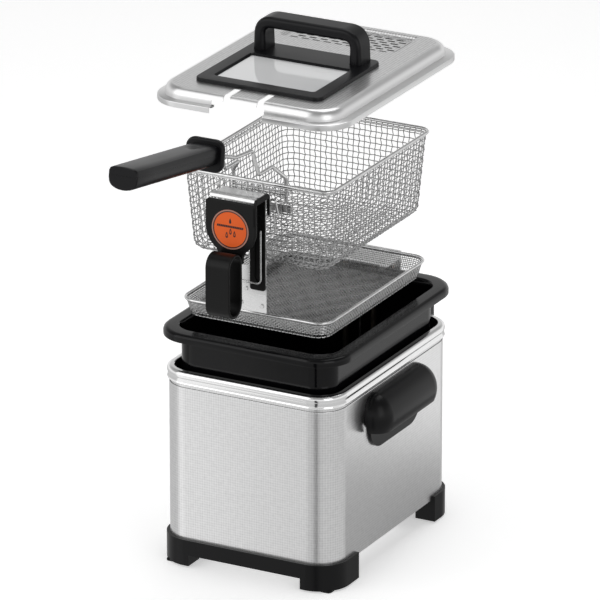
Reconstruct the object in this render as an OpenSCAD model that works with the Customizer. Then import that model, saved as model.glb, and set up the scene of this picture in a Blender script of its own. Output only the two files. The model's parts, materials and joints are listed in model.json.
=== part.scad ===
// Semi-professional deep fryer, shown taken apart in one vertical stack.
// Front is -Y, right is +X, up is +Z. The origin is on the floor, under the middle of the housing.
// Every group is drawn where it sits when assembled, then raised by its own lift.

/* [Housing] */
// Width of the steel housing
body_w = 220; // [215:1:225]
// Depth of the steel housing
body_d = 294; // [289:1:299]
// Radius of the housing's upright corners
body_r = 33; // [30:1:36]
// Thickness of the steel sheet
sheet = 1; // [0.8:0.1:1.2]
// Lower edge of the steel
steel_bottom = 28; // [26:1:30]
// Top of the polished rim
rim_top = 234; // [232:1:236]
// Height of the polished rim band
rim_band = 15; // [12:1:17]
// How far the rim stands out from the walls
rim_out = 2.3; // [1.5:0.1:3]

/* [Bowl] */
// Width of the bowl's flange
flange_w = 233; // [232:0.5:234]
// Depth of the bowl's flange
flange_d = 307; // [306:0.5:308]
// Width of the bowl inside
bowl_w = 194; // [193:0.5:195]
// Depth of the bowl inside
bowl_d = 266; // [265.5:0.5:267]
// Level of the bowl's floor, inside
bowl_floor = 54; // [50:1:56]

/* [Oil filter] */
// Width of the filter tray's rim
tray_w = 188; // [184:1:190]
// Depth of the filter tray's rim
tray_d = 250; // [246:1:250]
// Height of the filter tray
tray_h = 20; // [16:1:22]
// Sideways place of the filter's handle
clip_x = -9; // [-9:1:-7]

/* [Basket] */
// Width of the basket's rim
basket_w = 192; // [190:1:193]
// Depth of the basket's rim
basket_d = 249; // [246:1:249]
// Height of the basket
basket_h = 99; // [92:1:100]
// Half the distance between the two handle wires
wire_x = 21; // [20:0.5:22]

/* [Lid] */
// Width of the lid
lid_w = 239; // [238:0.5:240]
// Depth of the lid
lid_d = 313; // [312:0.5:314]
// Height of the lid's flat top above its lower edge
deck_h = 21; // [20.5:0.5:22]

/* [Lifts of the taken-apart stack] */
// Lift of the bowl above the housing
bowl_lift = 42; // [0:1:80]
// Lift of the oil filter above the bowl
filter_lift = 171; // [0:1:200]
// Lift of the basket above the oil filter
basket_lift = 23; // [0:1:60]
// Lift of the lid above the basket
lid_lift = 78; // [0:1:120]

/* [Hidden] */
$fn = 48;
hull_fn = 32;
eps = 0.01;

filter_z = bowl_lift + filter_lift;
basket_z = filter_z + basket_lift;
lid_z = basket_z + lid_lift;

rim_w = body_w + 2 * rim_out;
rim_d = body_d + 2 * rim_out;
rim_r = body_r + rim_out;
band_z = rim_top - rim_band;
mouth_w = 208;

flange_z = rim_top + 0.3;
flange_top = flange_z + 3.7;
lip_h = 6;

tray_y = -4.5;
tray_r = 19;
tray_rim_z = 98;
tray_wire = 1.8;
clip_y = -128.6;
clip_z = flange_top + 1.7;

basket_y = -0.5;
basket_r = 16;
basket_rim_z = 230;
basket_wire = 2;
step_z = 19.5;

lid_sheet = 0.9;
lid_low = rim_top;
deck_z = lid_low + deck_h;
window_y = -58;
bezel_y = -45;
bezel_t = 4;
arch_y = 12;
arch_h = 40;
grille_y = 100;
lid_filter_y = 95;

unit_x = 62;
unit_y0 = 154.5;
unit_y1 = 194;
unit_z0 = 95;
unit_z1 = 212;
unit_wall = 2.5;
knob_x = -45;
knob_y = 174;
leg_x = 18;
leg_y = 128;
leg_z = 244;
coil_z = 64;
coil_r = 3;
gland_x = 38;
gland_z = 112;
gland_bore = 3.9;
reset_z = 150;
lens_y = 189;

hood_z = 183;
hood_half = 50;
foot_out = 4;
foot_lip = 5;
foot_x = 43;
front_foot_y = 61;
rear_foot_y = 54;
foot_wall = 25;
ring_w = 184;
ring_z = 15;
pad_h = 2;

// ---- shared shapes ----

// Rectangle with round corners
module round_rect(w, d, r) {
    square([w - 2 * r, d], center = true);
    square([w, d - 2 * r], center = true);
    for (sx = [-1, 1], sy = [-1, 1])
        translate([sx * (w / 2 - r), sy * (d / 2 - r)]) circle(r);
}

// Flat block with round corners, standing on z
module slab(w, d, r, z, h) {
    translate([0, 0, z]) linear_extrude(h) round_rect(w, d, r);
}

// Upright wall that follows a round-cornered rectangle
module band(w, d, r, t, z, h) {
    translate([0, 0, z]) linear_extrude(h) difference() {
        round_rect(w, d, r);
        round_rect(w - 2 * t, d - 2 * t, r - t);
    }
}

// Solid between round-cornered sections, each [z, w, d, r]
module loft(sections) {
    hull() for (s = sections) slab(s[1], s[2], s[3], s[0], 0.1, $fn = hull_fn);
}

// Straight round rod between two points
module link(p, q, r) {
    v = q - p;
    translate(p) rotate([0, acos(v[2] / norm(v)), atan2(v[1], v[0])]) cylinder(h = norm(v), r = r);
}

// Bent wire through a list of points
module wire(points, r) {
    for (i = [1 : len(points) - 1]) link(points[i - 1], points[i], r);
    for (i = [1 : len(points) - 2]) translate(points[i]) sphere(r);
}

// Bent wire whose bends aren't square, with a round end at every point
module bent_wire(points, r) {
    for (i = [1 : len(points) - 1]) hull() {
        translate(points[i - 1]) sphere(r, $fn = 12);
        translate(points[i]) sphere(r, $fn = 12);
    }
}

// Closed wire ring that follows a round-cornered rectangle, measured over its outside
module wire_ring(w, d, r, wire_r, z) {
    x = w / 2 - r;
    y = d / 2 - r;
    bend = r - wire_r;
    translate([0, 0, z]) {
        for (s = [-1, 1]) {
            link([s * (x + bend), -y, 0], [s * (x + bend), y, 0], wire_r);
            link([-x, s * (y + bend), 0], [x, s * (y + bend), 0], wire_r);
        }
        for (corner = [[x, y, 0], [-x, y, 90], [-x, -y, 180], [x, -y, 270]])
            translate([corner[0], corner[1], 0]) rotate([0, 0, corner[2]])
                rotate_extrude(angle = 90) translate([bend, 0]) circle(wire_r, $fn = 24);
    }
}

// Screw with its head at the origin and its shank along +Z
module screw(head_r, head_h, shank_r, length) {
    difference() {
        cylinder(h = head_h, r = head_r);
        translate([0, 0, -eps]) cylinder(h = head_h / 2, r = head_r / 2.6, $fn = 6);
    }
    translate([0, 0, head_h - eps]) cylinder(h = length, r = shank_r);
}

// Places its children on both long sides, facing outwards
module both_sides() {
    for (s = [0, 1]) mirror([s, 0, 0]) children();
}

// ---- housing ----

handle_screw_spots = [[-40, 152], [40, 152]];
guide_screw_spots = [[-44, 120], [44, 120], [-44, 186], [44, 186]];
base_screw_x = 87;
base_screw_y = 50;

// Steel wrap with a shadow groove and a polished rim turned in at the top
module housing_shell() color("gainsboro") difference() {
    union() {
        band(body_w, body_d, body_r, sheet, steel_bottom, band_z - 1.5 - steel_bottom);
        band(body_w - 2, body_d - 2, body_r - 1, 2, band_z - 2, 2.5);
        band(rim_w, rim_d, rim_r, rim_out + 1.2, band_z, rim_band);
        band(rim_w, rim_d, rim_r, (rim_w - mouth_w) / 2, rim_top - 1.2, 1.2);
    }
    both_sides() for (p = handle_screw_spots)
        translate([body_w / 2 - 5, p[0], p[1]]) rotate([0, 90, 0]) cylinder(h = 10, r = 2.3);
    for (p = guide_screw_spots)
        translate([p[0], body_d / 2 - 5, p[1]]) rotate([-90, 0, 0]) cylinder(h = 10, r = 2.3);
}

// Plastic frame that stiffens the top of the housing inside
module inner_frame() color("dimgray")
    band(body_w - 2 * sheet - 0.4, body_d - 2 * sheet - 0.4, body_r - sheet - 0.2, 4, 196, 18);

// One corner foot with a lip that holds the steel
module corner_foot(along_x, along_y) {
    x1 = body_w / 2 + foot_out;
    y1 = body_d / 2 + foot_out;
    intersection() {
        translate([x1 - along_x, y1 - along_y, pad_h]) cube([along_x + 1, along_y + 1, 40]);
        union() {
            band(2 * x1, 2 * y1, body_r + foot_out, foot_out - 0.2, steel_bottom - eps, foot_lip);
            translate([0, 0, pad_h]) linear_extrude(steel_bottom - pad_h) difference() {
                round_rect(2 * x1, 2 * y1, body_r + foot_out);
                round_rect(2 * (x1 - foot_wall), 2 * (y1 - foot_wall), 12);
            }
        }
    }
}

// Base: a ring under the steel, a lipped bar across the front and back, and four corner feet
module base_frame() color([0.07, 0.07, 0.075]) difference() {
    union() {
        translate([0, 0, ring_z]) linear_extrude(steel_bottom - ring_z) difference() {
            round_rect(ring_w, body_d - 4, 12);
            round_rect(ring_w - 20, body_d - 24, 8);
        }
        for (sy = [0, 1]) mirror([0, sy, 0]) {
            translate([-body_w / 2 + 32, -body_d / 2 - foot_out, ring_z])
                cube([body_w - 64, 14, steel_bottom - ring_z]);
            translate([-body_w / 2 + 32, -body_d / 2 - foot_out, steel_bottom - eps])
                cube([body_w - 64, foot_out - 0.2, foot_lip]);
        }
        for (sx = [0, 1]) mirror([sx, 0, 0]) {
            corner_foot(foot_x, rear_foot_y);
            mirror([0, 1, 0]) corner_foot(foot_x, front_foot_y);
        }
    }
    for (sx = [-1, 1], sy = [-1, 1])
        translate([sx * base_screw_x, sy * base_screw_y, 14]) cylinder(h = 10, r = 1.6);
}

// Soft pads under the four feet
module foot_pads() color([0.12, 0.12, 0.12])
    for (sx = [-1, 1], sy = [-1, 1])
        translate([sx * 98, sy * 132, 0]) linear_extrude(pad_h) round_rect(14, 22, 4);

// Bottom cover with cooling slots
module base_plate() color("dimgray") difference() {
    translate([0, 0, 13]) linear_extrude(1.8) round_rect(ring_w - 4, body_d - 12, 12);
    for (y = [-60 : 20 : 60]) translate([-40, y - 2, 12]) cube([80, 4, 4]);
    for (sx = [-1, 1], sy = [-1, 1]) {
        translate([sx * base_screw_x, sy * base_screw_y, 12]) cylinder(h = 4, r = 1.8);
        translate([sx * 110, sy * 137, 12]) cube([92, 136, 8], center = true);
    }
}

module base_screws() color("silver")
    for (sx = [-1, 1], sy = [-1, 1])
        translate([sx * base_screw_x, sy * base_screw_y, 11]) screw(3, 1.9, 1.5, 9);

// Hooded grip, open below for the fingers
module side_hood() {
    x0 = body_w / 2 + 3.2;
    difference() {
        hull() for (s = [-1, 1]) translate([x0, s * hood_half, hood_z])
            scale([24, 23, 29]) sphere(1, $fn = hull_fn);
        hull() for (s = [-1, 1]) translate([x0, s * (hood_half - 1), hood_z])
            scale([20, 19, 25]) sphere(1, $fn = hull_fn);
        translate([x0 - 60, -100, 120]) cube([60, 200, 120]);
        translate([x0 - 1, -100, 110]) cube([60, 200, hood_z - 14 - 110]);
    }
}

module side_handle_right() color([0.05, 0.05, 0.055]) side_hood();
module side_handle_left() color([0.05, 0.05, 0.055]) mirror([1, 0, 0]) side_hood();

// Flat plate behind each hood, with a round lobe below it
module handle_backplates() color([0.05, 0.05, 0.055]) both_sides() difference() {
    translate([body_w / 2 + 0.2, 0, 0]) rotate([90, 0, 90]) linear_extrude(3) {
        translate([0, 190]) round_rect(140, 44, 20);
        translate([0, 171]) round_rect(122, 56, 26);
    }
    for (p = handle_screw_spots)
        translate([body_w / 2 - 1, p[0], p[1]]) rotate([0, 90, 0]) cylinder(h = 3.2, r = 2.3);
}

module handle_screws() color("silver") both_sides() for (p = handle_screw_spots)
    translate([body_w / 2 - sheet - 1.9, p[0], p[1]]) rotate([0, 90, 0]) screw(3.6, 1.8, 2, 3);

// Two upright rails on the back wall that hold the control unit
module rear_guide_rail() color([0.08, 0.08, 0.085]) difference() {
    for (s = [-1, 1]) translate([s * 44 - 8, body_d / 2 + 0.2, 100]) cube([16, 6.6, 115]);
    for (p = guide_screw_spots)
        translate([p[0], body_d / 2 - 1, p[1]]) rotate([-90, 0, 0]) cylinder(h = 10, r = 2.3);
}

module guide_screws() color("silver") for (p = guide_screw_spots)
    translate([p[0], body_d / 2 - sheet - 1.9, p[1]]) rotate([-90, 0, 0]) screw(3.6, 1.8, 2, 5);

// ---- bowl ----

// Enamelled oil bowl: deep body, wide flange and a lip that hangs over the rim
module bowl() color([0.03, 0.03, 0.03]) translate([0, 0, bowl_lift]) difference() {
    union() {
        loft([[bowl_floor - 1.2, bowl_w - 10, bowl_d - 10, 26],
              [bowl_floor + 5, bowl_w + 0.4, bowl_d + 0.4, 25],
              [flange_z, bowl_w + 2.4, bowl_d + 2.4, 25]]);
        slab(flange_w - 2, flange_d - 2, 39, flange_z, flange_top - flange_z);
        band(flange_w, flange_d, 40, 2.4, flange_z - lip_h, lip_h + 2.5);
    }
    loft([[bowl_floor, bowl_w - 12, bowl_d - 12, 25],
          [bowl_floor + 6, bowl_w - 2, bowl_d - 2, 24],
          [flange_z - 6, bowl_w, bowl_d, 24],
          [flange_z - 5.5, bowl_w, bowl_d, 24]]);
    loft([[flange_z - 6, bowl_w, bowl_d, 24],
          [flange_top + 1, bowl_w + 4, bowl_d + 4, 25]]);
}

// ---- control and heating unit ----

module unit_up() translate([0, 0, bowl_lift]) children();

cover_screw_spots = [[-55, 161.5], [55, 161.5], [-55, 187], [55, 187]];

// Tub that holds the electrics
module control_box() color([0.06, 0.06, 0.065]) unit_up() difference() {
    translate([-unit_x, unit_y0, unit_z0]) cube([2 * unit_x, unit_y1 - unit_y0, unit_z1 - 4 - unit_z0]);
    difference() {
        translate([-unit_x + unit_wall, unit_y0 + unit_wall, unit_z0 + unit_wall])
            cube([2 * (unit_x - unit_wall), unit_y1 - unit_y0 - 2 * unit_wall, unit_z1]);
        for (p = cover_screw_spots)
            translate([p[0], p[1], unit_z0]) cylinder(h = unit_z1 - 4 - unit_z0, r = 3.4);
    }
    for (p = cover_screw_spots) translate([p[0], p[1], unit_z1 - 18]) cylinder(h = 20, r = 1.55);
    translate([gland_x, unit_y1 - 5, gland_z]) rotate([-90, 0, 0]) cylinder(h = 10, r = 7.05);
    translate([gland_x, unit_y1 - 5, reset_z]) rotate([-90, 0, 0]) cylinder(h = 10, r = 4.1);
}

// Top cover with the controls in it
module control_cover() color([0.08, 0.08, 0.085]) unit_up() difference() {
    translate([-unit_x, unit_y0, unit_z1 - 3.9])
        cube([2 * unit_x, unit_y1 - unit_y0, 3.9]);
    translate([knob_x, knob_y, unit_z1 - 8]) cylinder(h = 12, r = 3.3);
    translate([-knob_x - 7.3, knob_y - 10.3, unit_z1 - 8]) cube([14.6, 20.6, 12]);
    for (s = [-1, 1]) translate([s * leg_x, knob_y, unit_z1 - 8]) cylinder(h = 12, r = coil_r + 0.3);
    for (s = [-1, 1]) translate([knob_x + 26 + s * 4, lens_y, unit_z1 - 8]) cylinder(h = 12, r = 2.05);
    for (p = cover_screw_spots) translate([p[0], p[1], unit_z1 - 8]) cylinder(h = 12, r = 1.7);
}

module cover_screws() color("silver") unit_up() for (p = cover_screw_spots)
    translate([p[0], p[1], unit_z1 + 1.6]) mirror([0, 0, 1]) screw(2.8, 1.5, 1.5, 8);

// Sheathed heating tube: down the back of the bowl and round its floor in one loop
module heating_element() color([0.35, 0.34, 0.33]) unit_up() wire([
    [leg_x, knob_y, 191], [leg_x, knob_y, leg_z], [leg_x, leg_y, leg_z], [leg_x, leg_y, coil_z],
    [leg_x, 92, coil_z], [72, 92, coil_z], [72, -104, coil_z], [28, -104, coil_z], [28, 58, coil_z],
    [-28, 58, coil_z], [-28, -104, coil_z], [-72, -104, coil_z], [-72, 92, coil_z], [-leg_x, 92, coil_z],
    [-leg_x, leg_y, coil_z], [-leg_x, leg_y, leg_z], [-leg_x, knob_y, leg_z], [-leg_x, knob_y, 191]
], coil_r, $fn = 24);

// Channel over the flange that carries the tube
module element_bracket() color("silver") unit_up() difference() {
    union() {
        translate([-27, 125.2, 240]) cube([54, 54, 9]);
        translate([-27, 177.2, unit_z1 + 0.2]) cube([54, 2, 30]);
    }
    translate([-25.8, 120, 239]) cube([51.6, 57, 8.6]);
}

// Bulb and capillary of the thermostat
module temperature_probe() color([0.75, 0.6, 0.4]) unit_up() {
    bent_wire([[-45, -60, coil_z], [-45, 60, coil_z]], 2.5);
    bent_wire([[-45, 58, coil_z], [-45, 100, coil_z + 8], [0, 129.5, coil_z + 12], [0, 129.5, leg_z],
               [0, 168, leg_z], [0, 168, unit_z1 + 1.4]], 1);
}

// Clips that hold the bulb between two runs of the tube
module probe_clip() color("silver") unit_up() for (y = [-30, 30]) difference() {
    translate([-68.8, y - 3, coil_z - 4]) cube([37.6, 6, 8]);
    translate([-67, y - 4, coil_z - 2.8]) cube([34, 8, 8]);
}

// Thermostat inside the box, with the spindle that the knob sits on
module thermostat_body() color("tan") unit_up() {
    translate([knob_x - 14, knob_y - 8.5, unit_z1 - 36]) cube([28, 17, 26]);
    translate([knob_x, knob_y, unit_z1 - 10 - eps]) cylinder(h = 13, r = 3);
}

module thermal_cutout() color("ivory") unit_up() {
    translate([gland_x, 172, reset_z]) rotate([-90, 0, 0]) cylinder(h = 12, r = 10);
    translate([gland_x - 2, 164, reset_z - 6]) cube([4, 8.1, 12]);
}

module terminal_block() color("ivory") unit_up() difference() {
    translate([-30, 160, 120]) cube([44, 16, 14]);
    for (i = [0 : 2]) translate([-22 + 14 * i, 168, 126]) cylinder(h = 12, r = 3);
}

// Safety switch that cuts the power when the unit isn't seated
module microswitch() color("black") unit_up() {
    translate([-20, 157.5, 160]) cube([28, 10, 12]);
    translate([-16, 159.5, 172 - eps]) cube([20, 6, 3]);
}

// Gland that the mains lead would leave through
module cord_gland() color([0.1, 0.1, 0.1]) unit_up()
    translate([gland_x, unit_y1 - 6, gland_z]) rotate([-90, 0, 0]) difference() {
        union() {
            cylinder(h = 14, r = 7);
            translate([0, 0, 6.1]) cylinder(h = 3, r = 9);
        }
        translate([0, 0, -1]) cylinder(h = 16, r = gland_bore);
    }

module indicator_lenses() color("red") unit_up() for (s = [-1, 1])
    translate([knob_x + 26 + s * 4, lens_y, unit_z1 - 6]) {
        cylinder(h = 8, r = 2);
        translate([0, 0, 6.1]) cylinder(h = 1.4, r = 3);
    }

// Knob with a skirt, grip ribs and a pointer
module thermostat_knob() color([0.1, 0.1, 0.11]) unit_up() translate([knob_x, knob_y, unit_z1 + 0.5])
    difference() {
        union() {
            cylinder(h = 3, r = 12.6);
            cylinder(h = 9.4, r = 11);
            for (a = [0 : 30 : 359]) rotate([0, 0, a]) translate([10.4, -1, 0]) cube([1.4, 2, 9]);
            translate([-1.2, 3, 9]) cube([2.4, 8, 1.2]);
        }
        translate([0, 0, -1]) cylinder(h = 5, r = 3.05);
    }

// Rocker that turns on its cross pin
module power_switch() color([0.6, 0.05, 0.05]) unit_up() translate([-knob_x, knob_y, unit_z1])
    rotate([0, 90, 0]) intersection() {
        cylinder(h = 13.6, r = 9.6, center = true);
        translate([-3.4, 0, 0]) cube([8, 30, 20], center = true);
    }

module reset_button() color("red") unit_up()
    translate([gland_x, unit_y1 - 6.4, reset_z]) rotate([-90, 0, 0]) cylinder(h = 10, r = 4);

// ---- oil filter ----

module filter_up() translate([0, 0, filter_z]) children();

rivet_spots = [[1, 124], [-5, 107], [21, 106]];

// Fine-mesh tray, as a thin shell
module filter_tray() color("silver") filter_up() translate([0, tray_y, 0]) difference() {
    loft([[tray_rim_z - tray_h, tray_w - 24, tray_d - 24, tray_r],
          [tray_rim_z - tray_h + 6, tray_w - 9, tray_d - 9, tray_r],
          [tray_rim_z - 1, tray_w - 3.6, tray_d - 3.6, tray_r - 1.8]]);
    loft([[tray_rim_z - tray_h + 1, tray_w - 26, tray_d - 26, tray_r - 1],
          [tray_rim_z - tray_h + 7, tray_w - 11, tray_d - 11, tray_r - 1],
          [tray_rim_z + 1, tray_w - 5.6, tray_d - 5.6, tray_r - 2.8]]);
}

module filter_rim_wire() color("whitesmoke") filter_up() translate([0, tray_y, 0])
    wire_ring(tray_w, tray_d, tray_r, tray_wire, tray_rim_z + tray_wire);

// Steel upright riveted to the front of the tray, narrower in steps towards the top
module filter_bracket() color("gainsboro") filter_up() difference() {
    translate([clip_x, clip_y - 0.75, 0]) {
        translate([-10, 0, tray_rim_z + 2 * tray_wire]) cube([37, 1.5, 33]);
        translate([-6, 0, tray_rim_z + 30]) cube([32, 1.5, 27]);
        translate([8, 0, tray_rim_z + 50]) cube([18, 1.5, clip_z - tray_rim_z - 50]);
    }
    for (p = rivet_spots) translate([clip_x + p[0], clip_y - 5, p[1] + 3]) rotate([-90, 0, 0])
        cylinder(h = 10, r = 1.5);
}

module filter_rivets() color("silver") filter_up() for (p = rivet_spots)
    translate([clip_x + p[0], clip_y - 0.8, p[1] + 3]) rotate([-90, 0, 0]) {
        translate([0, 0, -1]) cylinder(h = 1, r = 2.6);
        cylinder(h = 1.6, r = 1.45);
        translate([0, 0, 1.6]) cylinder(h = 0.9, r = 2.6);
    }

// Slotted plastic runner in front of the upright
module filter_rail() color([0.04, 0.04, 0.04]) filter_up() translate([clip_x, 0, 0]) difference() {
    translate([7, clip_y - 2.75, 128]) cube([19, 1.9, clip_z - 128]);
    translate([13, clip_y - 4, 143]) cube([10, 5, 68]);
    for (z = [143, 211]) translate([18, clip_y - 4, z]) rotate([-90, 0, 0]) cylinder(h = 5, r = 5);
}

// Steel strip rolled over the flange, which hangs the filter on the bowl
module filter_strip() color("whitesmoke") filter_up() {
    translate([clip_x - 28.5, -158, clip_z]) cube([57, 158 + clip_y + 0.75, 3]);
    translate([clip_x - 28.5, -152, clip_z + 0.3]) rotate([0, 90, 0]) difference() {
        cylinder(h = 57, r = 5.2);
        translate([0, -8, -1]) cube([8, 16, 59]);
        translate([0, 0, -1]) cylinder(h = 59, r = 4);
    }
}

// Outline of the shield: straight top, round bottom and a neck
module shield_outline() {
    translate([-31.5, 207.5]) square([63, clip_z - 0.2 - 207.5]);
    translate([0, 208]) circle(31.5);
    translate([-15, 168]) square([30, 20]);
}

// Heat shield that hangs in front of the housing
module filter_shield() color([0.05, 0.05, 0.05]) filter_up() translate([clip_x, -158.2, 0]) difference() {
    union() {
        rotate([90, 0, 0]) linear_extrude(4.6) shield_outline();
        translate([28.6, -4.6, 230]) cube([3.4, 32.6, 15]);
    }
    translate([28, 0, 225]) cube([5, 26.4, clip_z - 1 - 225]);
    translate([0, -4, 207]) rotate([90, 0, 0]) cylinder(h = 2, r = 23.2);
}

// Round badge with a plain ring
module filter_badge() color([0.95, 0.33, 0.13]) filter_up() translate([clip_x, -162.25, 207])
    rotate([90, 0, 0]) {
        cylinder(h = 1, r = 22.5);
        difference() {
            cylinder(h = 1.3, r = 23);
            translate([0, 0, -1]) cylinder(h = 4, r = 21.8);
        }
    }

// Loop that the finger goes through, to pull the filter up
module filter_loop_grip() color([0.05, 0.05, 0.05]) filter_up() translate([clip_x - 15, -178.6, 147])
    rotate([90, 0, 90]) linear_extrude(30) difference() {
        round_rect(31, 74, 15);
        round_rect(25, 68, 12);
    }

// ---- basket ----

module basket_up() translate([0, 0, basket_z]) children();

// Woven basket, as a thin shell
module basket_mesh() color("lightgray") basket_up() translate([0, basket_y, 0]) difference() {
    loft([[basket_rim_z - basket_h, basket_w - 36, basket_d - 36, 14],
          [basket_rim_z - basket_h + 12, basket_w - 18, basket_d - 18, 16],
          [basket_rim_z - 2.2, basket_w - 5, basket_d - 5, basket_r - 2.5]]);
    loft([[basket_rim_z - basket_h + 1, basket_w - 38, basket_d - 38, 13],
          [basket_rim_z - basket_h + 13, basket_w - 20, basket_d - 20, 15],
          [basket_rim_z + 1, basket_w - 7, basket_d - 7, basket_r - 3.5]]);
}

module basket_rim_wire() color("whitesmoke") basket_up() translate([0, basket_y, 0])
    wire_ring(basket_w, basket_d, basket_r, basket_wire, basket_rim_z);

rim_front = basket_y - basket_d / 2;

// Bent wires and a small plate inside the front wall that take the handle's feet
module basket_bracket() color("silver") basket_up() {
    translate([-42, rim_front + 9.6, basket_rim_z - 34]) cube([84, 1, 9]);
    for (s = [-1, 1]) translate([s * 38 - 4, rim_front + 6.5, basket_rim_z - 34]) cube([8, 3.2, 1]);
}

// ---- basket handle ----

wire_r = 2.2;
guard_y = -232;
guard_z = basket_rim_z + 65;
grip_tilt = 9;
grip_len = 188;

// One side of the handle's wire, from the foot inside the basket to the grip
function handle_route(s) = [
    [s * 33, rim_front + 14, basket_rim_z - 24],
    [s * 33, rim_front + 14, basket_rim_z + 5],
    [s * wire_x, rim_front + 4, basket_rim_z + step_z],
    [s * wire_x, rim_front - 28, basket_rim_z + step_z],
    [s * wire_x, rim_front - 42, basket_rim_z + 52],
    [s * wire_x, rim_front - 80, basket_rim_z + 56],
    [s * (wire_x - 7), guard_y + 3, guard_z],
    [s * (wire_x - 9), guard_y - 36, guard_z + 6]
];

module handle_wires() color("whitesmoke") basket_up() {
    for (s = [-1, 1]) bent_wire(handle_route(s), wire_r);
    bent_wire([[-33, rim_front + 14, basket_rim_z - 14],
               [33, rim_front + 14, basket_rim_z - 14]], wire_r * 0.8);
}

// Draws its children in the grip's own frame: +Y runs out along the grip
module along_grip() basket_up() translate([0, guard_y, guard_z]) rotate([grip_tilt, 0, 180]) children();

module grip_bores() for (s = [-1, 1])
    translate([s * (wire_x - 8), -20, 0.4]) rotate([-90, 0, 0]) cylinder(h = 70, r = 3.6);

// Plate that keeps the hand off the wires
module handle_guard() color([0.04, 0.04, 0.04]) along_grip() difference() {
    rotate([-90, 0, 0]) linear_extrude(7) round_rect(47, 37, 10);
    grip_bores();
}

// Outline of the whole grip, seen from its end
module grip_outline() {
    translate([0, -1]) round_rect(36, 24, 8);
    translate([0, 5]) round_rect(36, 14, 3);
}

module grip_half(low, high) difference() {
    translate([0, 7.1 + grip_len - 7, 0]) rotate([90, 0, 0]) linear_extrude(grip_len - 7) intersection() {
        grip_outline();
        translate([-30, low]) square([60, high - low]);
    }
    grip_bores();
    translate([0, 150, -20]) cylinder(h = 26, r = 1.8);
    translate([0, 150, -20]) cylinder(h = 12, r = 3.4);
}

module grip_upper() color([0.09, 0.09, 0.1]) along_grip() difference() {
    grip_half(0.05, 20);
    translate([0, 30, 52]) sphere(42, $fn = 96);
}
module grip_lower() color([0.03, 0.03, 0.03]) along_grip() grip_half(-20, -0.05);

module grip_screw() color("silver") along_grip() translate([0, 150, -10.2]) screw(3.1, 2, 1.6, 13);

// ---- lid ----

module lid_up() translate([0, 0, lid_z]) children();

lid_screw_spots = [[-60, 4], [60, 4], [-60, 20], [60, 20]];

// Steps of the lid: height above its lower edge, how much narrower it is, how far in its front
// and its back are, and its corner radius
ledge_steps = [[6.9, 0.6, 0.3, 0.3, 37.7], [8.6, 17, 5, 8.5, 33]];
shoulder_steps = [[8.4, 18, 5.5, 9, 33], [12.5, 20, 6.2, 10, 32], [16.5, 24, 7.5, 12, 30],
                  [19.3, 29, 9, 15, 28], [deck_h - 0.1, 35, 12, 19, 25]];

// Solid through some of the lid's steps, made smaller by a margin
module lid_steps(steps, margin) hull() for (s = steps) translate([0, (s[2] - s[3]) / 2, 0])
    slab(lid_w - 2 * margin - s[1], lid_d - 2 * margin - s[2] - s[3], s[4] - margin,
         lid_low + s[0] - margin, 0.1, $fn = hull_fn);

// Body of the lid as a solid, made smaller by a margin and then open below
module lid_form(margin) {
    open = margin > 0 ? 1 : 0;
    slab(lid_w - 2 * margin, lid_d - 2 * margin, 38 - margin, lid_low - open, 7 - margin + open);
    lid_steps(ledge_steps, margin);
    lid_steps(shoulder_steps, margin);
}

// Staggered steam slots
module steam_slots() for (row = [0 : 7])
    for (i = [0 : 8]) translate([-60 + 14 * i + (row % 2) * 6.5 - 1, grille_y - 26 + row * 7.2, deck_z - 8])
        cube([9, 2.2, 12]);

// Pressed steel lid with handle slots, filter notch, window opening and steam grille
module lid_pan() color("gainsboro") lid_up() difference() {
    lid_form(0);
    lid_form(lid_sheet);
    for (s = [-1, 1]) translate([s * wire_x - 4, -lid_d / 2 - 1, lid_low - 2]) cube([8, 36, 40]);
    translate([clip_x - 30, -lid_d / 2 - 1, lid_low - 2]) cube([66, 14, 16]);
    translate([-29, lid_d / 2 - 16, lid_low - 2]) cube([58, 20, 18.5]);
    translate([-64, window_y - 44, deck_z - 6]) cube([128, 88, 12]);
    for (p = lid_screw_spots) translate([p[0], p[1], deck_z - 6]) cylinder(h = 12, r = 2.3, $fn = 24);
    steam_slots();
}

module lid_window() color([0.8, 0.85, 0.88, 0.5]) lid_up()
    translate([0, window_y, deck_z - 1.4]) linear_extrude(3.2) round_rect(127, 87, 3);

// Plastic frame round the window, with a broad back part under the handle
module lid_bezel() color([0.04, 0.04, 0.045]) lid_up() difference() {
    translate([0, bezel_y, deck_z + 0.1]) linear_extrude(bezel_t) round_rect(158, 148, 9);
    translate([-61, window_y - 42, deck_z - 1]) cube([122, 84, 10]);
    translate([-63.6, window_y - 43.6, deck_z - 1]) cube([127.2, 87.2, 3]);
    for (p = lid_screw_spots) translate([p[0], p[1], deck_z - 6]) cylinder(h = 20, r = 2.3);
}

// Arch that lifts the lid: a broad strap with round shoulders
module lid_handle() color([0.04, 0.04, 0.045]) lid_up() difference() {
    translate([0, arch_y + 14.5, deck_z + bezel_t + 0.2]) rotate([90, 0, 0]) linear_extrude(29) difference() {
        intersection() {
            round_rect(134, 2 * arch_h, 27);
            translate([-80, 0]) square([160, 60]);
        }
        translate([0, -1]) round_rect(106, 2 * (arch_h - 12), 15);
    }
    for (p = lid_screw_spots) translate([p[0], p[1], deck_z]) cylinder(h = 16, r = 2.05);
}

module lid_screws() color("silver") lid_up() for (p = lid_screw_spots)
    translate([p[0], p[1], deck_z - 3]) screw(4, 1.9, 2, 12);

// Replaceable pad that catches grease under the grille
module lid_filter() color("dimgray") lid_up()
    translate([0, lid_filter_y, deck_z - 10]) linear_extrude(6) round_rect(134, 50, 4);

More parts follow.
